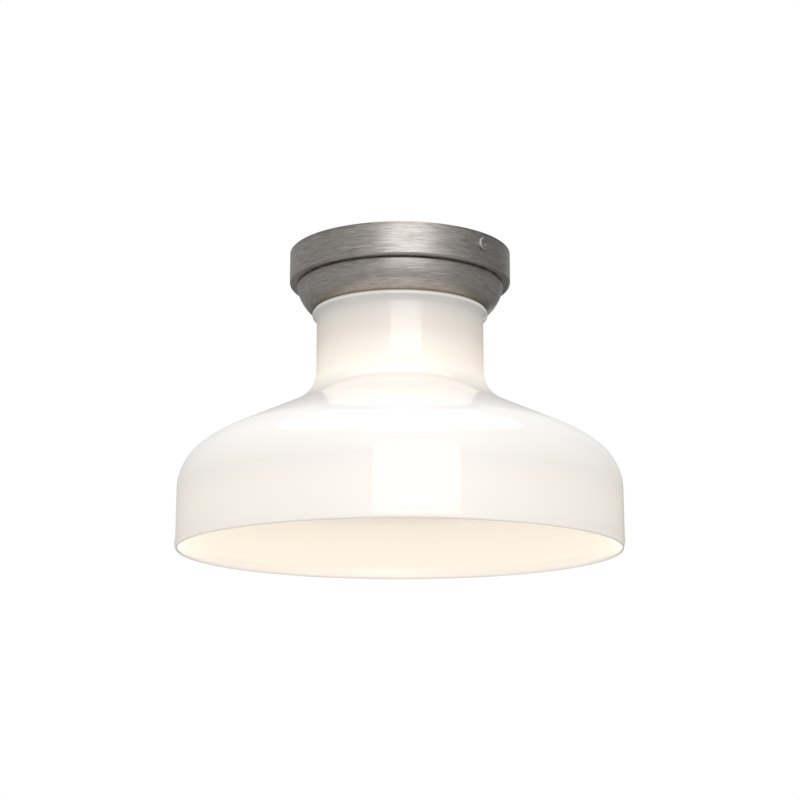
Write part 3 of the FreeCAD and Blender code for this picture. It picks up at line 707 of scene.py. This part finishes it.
def makeShade():
    glass = glassShape
    wall, collarRound, lipRound = glass["wall"], glass["collarRound"], glass["lipRound"]
    angles = (glass["flareAngle"], glass["slopeAngle"], glass["shoulderAngle"])
    flare, slope, knuckle = (math.radians(angle) for angle in angles)
    wallSide = glass["radius"] - glass["rimFlare"]
    run = wallSide - glass["neck"] - glass["flareRadius"] * (1 - math.cos(flare))
    run -= glass["slopeRadius"] * (math.cos(flare) - math.cos(slope))
    run -= glass["shoulderRadius"] * (math.cos(knuckle) - math.cos(slope))
    run -= glass["wallRadius"] * (1 - math.cos(knuckle))
    flank = run / math.sin(slope)
    lip = holderShape["mouth"] - glass["lipOverlap"]
    collar = holderShape["mouth"] - holderShape["wall"] - glass["collarClearance"]
    lipTop = levels["holderBottom"] - holderShape["wall"] / 2 - glass["lipGap"]
    line = Outline(glass["hole"], levels["shadeTop"], arcStep=glass["arcStep"])
    line.goTo(collar - collarRound, levels["shadeTop"]).turn(collarRound, -90).goTo(collar, lipTop)
    line.goTo(lip - lipRound, lipTop).turn(lipRound, -90)
    line.forward(glass["lipHeight"] - 2 * lipRound).turn(lipRound, -glass["lipSweep"])
    sweep = math.radians(glass["lipSweep"])
    rest = line.points[-1][0] - glass["neck"] - glass["lipFillet"] * (1 - math.cos(sweep))
    line.forward(rest / math.sin(sweep)).turn(glass["lipFillet"], glass["lipSweep"])
    line.goTo(glass["neck"], glass["neckEnd"])
    line.turn(glass["flareRadius"], glass["flareAngle"])
    line.turn(glass["slopeRadius"], glass["slopeAngle"] - glass["flareAngle"]).forward(flank)
    line.turn(glass["shoulderRadius"], glass["shoulderAngle"] - glass["slopeAngle"])
    line.turn(glass["wallRadius"], -glass["shoulderAngle"])
    wallTop = line.points[-1][1]
    flareTop = glass["rimReach"] + glass["rimFlareHeight"] - glass["height"]
    line.goTo(wallSide, flareTop).goTo(glass["radius"], glass["rimReach"] - glass["height"])
    for step in range(1, glass["rimSteps"] + 1):  # the fire-polished rim is half an ellipse
        angle = math.pi * step / glass["rimSteps"]
        line.points.append((glass["radius"] - wall / 2 * (1 - math.cos(angle)),
                            glass["rimReach"] * (1 - math.sin(angle)) - glass["height"]))
    insideStart = len(line.points)
    line.goTo(wallSide - wall, flareTop).goTo(wallSide - wall, wallTop)
    line.turn(glass["wallRadius"] - wall, glass["shoulderAngle"])
    line.turn(glass["shoulderRadius"] - wall, glass["slopeAngle"] - glass["shoulderAngle"]).forward(flank)
    line.turn(glass["slopeRadius"] + wall, glass["flareAngle"] - glass["slopeAngle"])
    line.turn(glass["flareRadius"] + wall, -glass["flareAngle"])
    line.goTo(glass["neck"] - wall, levels["flangeBottom"] - collarRound).turn(collarRound, 90)
    line.goTo(glass["hole"], levels["flangeBottom"])
    lit = (insideStart, len(line.points))
    return spun("opalShade", line.closed(), "opal_glass", glass["steps"], inside=lit)


canopyShape = {
    "radius": reach("canopy"), "wall": 0.8, "corner": 1.6, "hole": 5.3, "screwHole": 2.3, "screwDepth": 8.0,
    "steps": 256,
}


def makeCanopy():
    canopy = canopyShape
    low, inside = levels["canopyBottom"], canopy["corner"] - canopy["wall"]
    innerRadius = canopy["radius"] - canopy["wall"]
    pan = Outline(canopy["radius"], 0.0, -90)
    pan.goTo(canopy["radius"], low + canopy["corner"]).turn(canopy["corner"], -90).goTo(canopy["hole"], low)
    pan.goTo(canopy["hole"], low + canopy["wall"]).goTo(innerRadius - inside, low + canopy["wall"])
    pan.turn(inside, 90).goTo(innerRadius, 0.0)
    piece = spun("spunCanopy", pan.closed(), "nickel", canopy["steps"])
    sideways = Matrix.Rotation(math.pi / 2, 3, "Y")
    drillLength = 4 * canopy["radius"]  # goes through both sides
    return cut(piece, [drill(canopy["screwHole"], drillLength, (0, 0, -canopy["screwDepth"]), sideways)])


def makeHolder():
    holder = holderShape
    top = Vector((holder["topRadius"], levels["canopyBottom"]))
    mouth = Vector((holder["mouth"], levels["holderBottom"]))
    chord = mouth - top
    inward = Vector((chord.y, -chord.x)).normalized()
    centre = top + chord / 2 + inward * math.sqrt(holder["bulge"] ** 2 - chord.length ** 2 / 4)
    level = top.y - holder["shoulder"]
    shoulderX = centre.x + math.sqrt((holder["bulge"] - holder["shoulder"]) ** 2 - (level - centre.y) ** 2)
    start = math.atan2(level - centre.y, shoulderX - centre.x)
    end = math.atan2(mouth.y - centre.y, mouth.x - centre.x)

    def side(inset):
        # from the flat top round the shoulder and down the bulge
        points = [(holder["hole"], top.y - inset)]
        for step in range(holder["shoulderSteps"] + 1):
            angle = math.pi / 2 + (start - math.pi / 2) * step / holder["shoulderSteps"]
            points.append(around((shoulderX, level), holder["shoulder"] - inset, angle))
        for step in range(1, holder["bulgeSteps"] + 1):
            angle = start + (end - start) * step / holder["bulgeSteps"]
            points.append(around(centre, holder["bulge"] - inset, angle))
        return points

    outer, inner = side(0.0), side(holder["wall"])
    middle = (Vector(outer[-1]) + Vector(inner[-1])) / 2
    across = Vector(outer[-1]) - middle
    rim = []
    for step in range(1, holder["rimSteps"]):
        angle = -math.pi * step / holder["rimSteps"]
        rim.append(tuple(middle + Matrix.Rotation(angle, 2) @ across))
    return spun("spunHolder", outer + rim + inner[::-1] + outer[:1], "nickel", holder["steps"])


seat(makeShade(), "shade")
print("glass made")
seat(makeCanopy(), "canopy")
seat(makeHolder(), "shade_holder")
print("spun metal made")


lampPitch = 25.4 / 7  # seven threads to the inch
socketShape = {
    "radius": reach("lampholder_body"), "threadLength": 26.0, "threadTop": 5.0, "noseStep": 1.0,
    "noseRound": 1.5, "bore": 14.2, "ringPitch": 3.0, "ringDepth": 0.85, "rows": 96, "steps": 128,
}
shellShape = {
    "radius": reach("screw_shell"), "wall": 0.5, "flange": 6.8, "recess": 2.0, "threadTop": 2.0,
    "depth": 0.55, "rows": 96, "steps": 128,
}
bulbShape = {"radius": reach("bulb_glass"), "neck": 12.6, "wall": 0.8, "collar": 3.0, "steps": 128}
baseShape = {
    "radius": reach("bulb_base"), "wall": 0.4, "cone": 10.5, "depth": 0.95, "threadTop": 0.3,
    "threadBottom": 1.5, "rows": 84, "steps": 128,
}
nippleShape = {
    "radius": reach("nipple"), "bore": 3.5, "top": topOf("nipple"), "bottom": bottomOf("nipple"),
    "pitch": 1.0, "depth": 0.5, "rows": 150, "steps": 64,
}


def makeSocketBody():
    socket, top = socketShape, levels["capBottom"]
    bottom, floor = levels["bodyBottom"], levels["socketFloor"]
    nose, noseRound = socket["radius"] - socket["noseStep"], socket["noseRound"]
    threadEnd = top - socket["threadLength"]
    line = Outline(0.0, top).goTo(socket["radius"], top).threaded(threadEnd, socket["rows"])
    line.goTo(nose, threadEnd - socket["noseStep"]).goTo(nose, bottom + noseRound).turn(noseRound, -90)
    line.goTo(socket["bore"], bottom).goTo(socket["bore"], floor).goTo(0.0, floor)
    threadTop = top - socket["threadTop"]
    band = threadBand(socket["radius"], threadEnd, threadTop, socket["ringDepth"], socket["ringPitch"])
    return spun("porcelainBody", line.points, "porcelain", socket["steps"], band)


def makeShell():
    shell, floor = shellShape, levels["socketFloor"]
    radius, wall, rows = shell["radius"], shell["wall"], shell["rows"]
    end = levels["bodyBottom"] + shell["recess"]
    line = Outline(shell["flange"], floor).goTo(radius, floor).threaded(end, rows)
    line.goTo(radius - wall, end).threaded(floor - wall, rows).goTo(shell["flange"], floor - wall)
    band = threadBand(radius, end, floor - shell["threadTop"], shell["depth"], lampPitch, wall)
    return spun("shellThread", line.closed(), "brass", shell["steps"], band)


def makeBulbGlass():
    # a globe with a neck that curves into it
    bulb = bulbShape
    rise = levels["baseBottom"] - levels["bulbBottom"] - bulb["radius"]
    bend = (rise ** 2 + bulb["neck"] ** 2 - bulb["radius"] ** 2) / (2 * (bulb["radius"] - bulb["neck"]))
    sweep = math.degrees(math.atan2(rise, bulb["neck"] + bend))
    top = levels["baseBottom"] + bulb["collar"]
    line = Outline(bulb["neck"], top).goTo(bulb["neck"], levels["baseBottom"])
    line.heading = -90
    line.turn(bend, sweep).turn(bulb["radius"], -90 - sweep)
    line.points[-1] = (0.0, levels["bulbBottom"])
    line.points.append((0.0, levels["bulbBottom"] + bulb["wall"]))
    line.heading = 0
    line.turn(bulb["radius"] - bulb["wall"], 90 + sweep).turn(bend + bulb["wall"], -sweep)
    line.goTo(bulb["neck"] - bulb["wall"], top)
    return spun("bulbGlobe", line.closed(), "frosted_glass", bulb["steps"])


def makeBulbBase():
    base, top, bottom = baseShape, levels["baseTop"], levels["baseBottom"]
    radius, wall, rows = base["radius"], base["wall"], base["rows"]
    shoulder = top - (radius - base["cone"])
    line = Outline(radius, bottom).threaded(shoulder, rows).goTo(base["cone"], top)
    line.goTo(base["cone"] - wall, top).goTo(radius - wall, shoulder - wall / 2).threaded(bottom, rows)
    threadTop, threadBottom = shoulder - base["threadTop"], bottom + base["threadBottom"]
    band = threadBand(radius, threadBottom, threadTop, base["depth"], lampPitch, wall)
    return spun("bulbScrewBase", line.closed(), "aluminium", base["steps"], band)


def makeNipple():
    nipple = nippleShape
    line = Outline(nipple["radius"], nipple["bottom"]).threaded(nipple["top"], nipple["rows"])
    line.goTo(nipple["bore"], nipple["top"]).goTo(nipple["bore"], nipple["bottom"])
    band = threadBand(nipple["radius"], nipple["bottom"], nipple["top"], nipple["depth"], nipple["pitch"])
    return spun("threadedNipple", line.closed(), "zinc_steel", nipple["steps"], band)


seat(makeSocketBody(), "lampholder_body")
seat(makeShell(), "screw_shell")
seat(makeBulbGlass(), "bulb_glass")
seat(makeBulbBase(), "bulb_base")
seat(makeNipple(), "nipple")
print("lampholder and bulb made")


screwShape = {
    "seat": reach("side_washer_right"), "head": 4.2, "headHeight": 1.3, "round": 0.9, "shank": 2.0,
    "length": 10.0, "tip": 0.4, "recessWidth": 1.5, "recessReach": 4.6, "recessDepth": 1.0,
    "recessProud": 0.01, "pitch": 0.7, "threadDepth": 0.38, "threadTop": 0.3, "rows": 112, "steps": 48,
    "sharpAngle": 30.0,
}


def makeSideScrew(name, angle):
    # made upright on the origin, then laid into the canopy's side
    screw = screwShape
    end, tip = -screw["length"], screw["tip"]
    line = Outline(0.0, end).goTo(screw["shank"] - tip, end).goTo(screw["shank"], end + tip)
    line.threaded(0.0, screw["rows"]).goTo(screw["head"], 0.0)
    line.goTo(screw["head"], screw["headHeight"] - screw["round"]).turn(screw["round"], 90)
    line.goTo(0.0, screw["headHeight"])
    band = threadBand(screw["shank"], end + tip, -screw["threadTop"], screw["threadDepth"], screw["pitch"])
    piece = spun(name, line.points, "nickel", screw["steps"], band)
    middle = (0, 0, screw["headHeight"] - screw["recessDepth"] / 2)
    size = (screw["recessReach"], screw["recessWidth"], screw["recessDepth"] + screw["recessProud"])
    cut(piece, [bar(size, middle, Matrix.Rotation(turn, 3, "Z")) for turn in (0.0, math.pi / 2)])
    polished(piece.data, screw["sharpAngle"])
    height = -canopyShape["screwDepth"]
    lay = Matrix.Translation((0, 0, height * mm)) @ Matrix.Rotation(math.radians(angle), 4, "Z")
    lay = lay @ Matrix.Rotation(math.pi / 2, 4, "Y") @ Matrix.Translation((0, 0, screw["seat"] * mm))
    piece.data.transform(lay)
    return piece


seat(makeSideScrew("sideScrewRight", 0), "side_screw_right")
seat(makeSideScrew("sideScrewLeft", 180), "side_screw_left")

for node, piece in nodes.items():  # every CAD shape gets its finish; the replaced ones stay hidden
    dressed(piece, finishes[slotOf[node]])
print("screws made")


view = {  # metres and degrees
    "lens": 78.466, "sensor": 36.0, "distance": 1.2090, "elevation": -12.78, "azimuth": 43.75,
    "target": (0.0, 0.0, -0.10408),
}
target = Vector(view["target"])


def direction(azimuth, elevation):
    # from the target outwards; azimuths count from the camera, positive to the right in the picture
    turn, rise = math.radians(view["azimuth"] + azimuth), math.radians(elevation)
    return Vector((math.sin(turn) * math.cos(rise), -math.cos(turn) * math.cos(rise), math.sin(rise)))


softboxes = {  # metres and degrees; level = its brightness, where 1 is white
    "keySoftbox": {
        "azimuth": 8.0, "elevation": 8.65, "distance": 1.6, "width": 1.17, "height": 0.487, "level": 1.3},
    "upperSoftbox": {
        "azimuth": 8.0, "elevation": 23.9, "distance": 1.6, "width": 1.17, "height": 0.370, "level": 0.6},
    "lowerSoftbox": {
        "azimuth": 8.0, "elevation": -8.0, "distance": 1.6, "width": 1.17, "height": 0.45, "level": 0.7},
    "fillSoftbox": {
        "azimuth": -50.0, "elevation": 0.0, "distance": 1.6, "width": 0.8, "height": 0.8, "level": 0.5,
        "glossy": False},
    "topSoftbox": {
        "azimuth": 0.0, "elevation": 86.0, "distance": 1.7, "width": 1.1, "height": 2.2, "level": 0.9},
}


def softbox(name, azimuth, elevation, distance, width, height, level, glossy=True):
    lamp = bpy.data.lights.new(name, "AREA")
    lamp.shape = "RECTANGLE"
    lamp.size, lamp.size_y = width, height
    lamp.energy = level * math.pi * width * height
    piece = linked(name, lamp)
    away = direction(azimuth, elevation)
    piece.location = target + away * distance
    piece.rotation_euler = away.to_track_quat("Z", "Y").to_euler()
    piece.visible_camera = False
    piece.visible_glossy = glossy


for name, settings in softboxes.items():
    softbox(name, **settings)


bulbLamp = {"power": 1.8, "colour": (1.0, 0.88, 0.72), "clearance": 1.0}


def globeLight():
    # a round lamp in the middle of the globe, a little larger than its glass
    lamp = bpy.data.lights.new("bulbLight", "POINT")
    lamp.energy = bulbLamp["power"]
    lamp.color = bulbLamp["colour"]
    lamp.shadow_soft_size = (bulbShape["radius"] + bulbLamp["clearance"]) * mm
    piece = linked("bulbLight", lamp)
    piece.location.z = (levels["bulbBottom"] + bulbShape["radius"]) * mm
    piece.visible_camera = piece.visible_glossy = False
    return piece


bulbLight = globeLight()
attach(bulbLight, bodyOf["bulb_glass"])


room = {"ambient": 0.52, "seen": 1.0}  # the light on the object, and what camera and reflections see


def seenDirectly(work):
    # camera, glossy and transmission rays
    path = work.add("ShaderNodeLightPath")
    both = path.output("Is Camera Ray").combine("MAXIMUM", path.output("Is Glossy Ray"))
    return both.combine("MAXIMUM", path.output("Is Transmission Ray"))


def makeRoom():
    world = bpy.data.worlds.new("studioWorld")
    bpy.context.scene.world = world
    world.use_nodes = True
    work = NodeWork(world.node_tree)
    work.tree.nodes.clear()
    ambient = work.add("ShaderNodeBackground", {}, {0: pureWhite, 1: room["ambient"]})
    white = work.add("ShaderNodeBackground", {}, {0: pureWhite, 1: room["seen"]})
    mixed = work.add("ShaderNodeMixShader", {}, {0: seenDirectly(work), 1: ambient, 2: white})
    work.add("ShaderNodeOutputWorld", {}, {0: mixed})


makeRoom()


def stageFinish(name, colour, level, share):
    # a plain surface that camera and reflections see at a set brightness
    work = Finish(name)
    shade = work.add("ShaderNodeBsdfDiffuse", {}, {0: colour})
    glow = work.add("ShaderNodeEmission", {}, {0: pureWhite, 1: level})
    mixed = work.add("ShaderNodeMixShader", {}, {0: seenDirectly(work) * share, 1: shade, 2: glow})
    work.add("ShaderNodeOutputMaterial", {}, {"Surface": mixed})
    return work.material


def disc(name, settings):
    form = bmesh.new()
    bmesh.ops.create_circle(form, cap_ends=True, segments=settings["sides"], radius=settings["radius"])
    return shaped(name, form, (0, 0, settings["height"] / mm), Matrix.Identity(3))


def reflector(card, finish):
    # stands round the stage; only reflections see it
    dressed(card, finish)
    card.visible_camera = card.visible_diffuse = card.visible_shadow = card.visible_transmission = False


floorLook = {
    "radius": 7.0, "height": -1.6, "sides": 96,
    "colour": rgba(0.86, 0.86, 0.86), "level": 1.0, "share": 0.8,
}
floor = disc("studioFloor", floorLook)
dressed(floor, stageFinish("paleFloor", floorLook["colour"], floorLook["level"], floorLook["share"]))

flagLook = {
    "radius": 1.9, "height": -1.48, "sides": 96,
    "colour": rgba(0.05, 0.05, 0.05), "level": 0.30, "share": 1.0,
}
greyFlag = stageFinish("greyFlag", flagLook["colour"], flagLook["level"], flagLook["share"])
reflector(disc("lowerFlag", flagLook), greyFlag)


ringShape = {  # lowRows of the heights have the lower brightness; one row is open between two azimuths
    "radius": 1.9, "heights": (-1.5, -0.42, 0.05, 0.25, 2.6), "lowRows": 3, "step": 4.0,
    "windowRow": 1, "windowFrom": 157.0, "windowTo": 169.0,
    "cards": [  # azimuth, brightness below and above
        (-176.0, 0.26, 0.38), (-160.0, 0.30, 0.38), (-145.0, 0.30, 0.38), (-130.0, 0.38, 0.38),
        (-60.0, 0.45, 0.42), (-38.0, 0.50, 0.50), (-18.0, 0.78, 0.88), (8.0, 0.80, 0.98),
        (34.0, 0.78, 0.86), (54.0, 0.50, 0.50), (80.0, 0.33, 0.27), (130.0, 0.28, 0.22),
        (141.0, 0.24, 0.28), (150.0, 0.17, 0.38), (157.0, 0.16, 0.38), (169.0, 0.15, 0.38),
        (184.0, 0.16, 0.38)],
}


def ringFinish():
    work = Finish("greyCards")
    glow = work.add("ShaderNodeEmission", {}, {0: pureWhite, 1: work.attribute("level")})
    work.add("ShaderNodeOutputMaterial", {}, {"Surface": glow})
    return work.material


def makeRing():
    # cards all round, each blending from its own brightness to the next one's
    ring = ringShape
    heights, cards = ring["heights"], ring["cards"]
    rows, lowRows = len(heights), ring["lowRows"]
    points, faces, glow = [], [], []
    for (first, *firstLevels), (last, *lastLevels) in zip(cards, cards[1:]):
        steps = max(1, round((last - first) / ring["step"]))
        window = ring["windowFrom"] <= first and last <= ring["windowTo"]
        for step in range(steps + 1):
            share = step / steps
            away = direction(first + (last - first) * share, 0.0) * ring["radius"]
            below, above = (start + (end - start) * share for start, end in zip(firstLevels, lastLevels))
            points += [(away.x, away.y, height) for height in heights]
            glow += [below] * lowRows + [above] * (rows - lowRows)
            for row in range(rows - 1):
                if step and not (window and row == ring["windowRow"]):  # the white room shows there
                    corner = len(points) - 2 * rows + row
                    faces.append((corner, corner + rows, corner + rows + 1, corner + 1))
    mesh = bpy.data.meshes.new("greyCards")
    mesh.from_pydata(points, [], faces)
    mesh.attributes.new("level", "FLOAT", "POINT").data.foreach_set("value", glow)
    return linked("greyCards", mesh)


reflector(makeRing(), ringFinish())

cameraData = bpy.data.cameras.new("camera")
cameraData.lens = view["lens"]
cameraData.sensor_width = view["sensor"]
camera = linked("camera", cameraData)
camera.location = target + direction(0.0, view["elevation"]) * view["distance"]
camera.rotation_euler = (math.radians(90.0 - view["elevation"]), 0.0, math.radians(view["azimuth"]))
bpy.context.scene.camera = camera
bpy.context.scene.view_settings.view_transform = "Standard"
print("studio made")
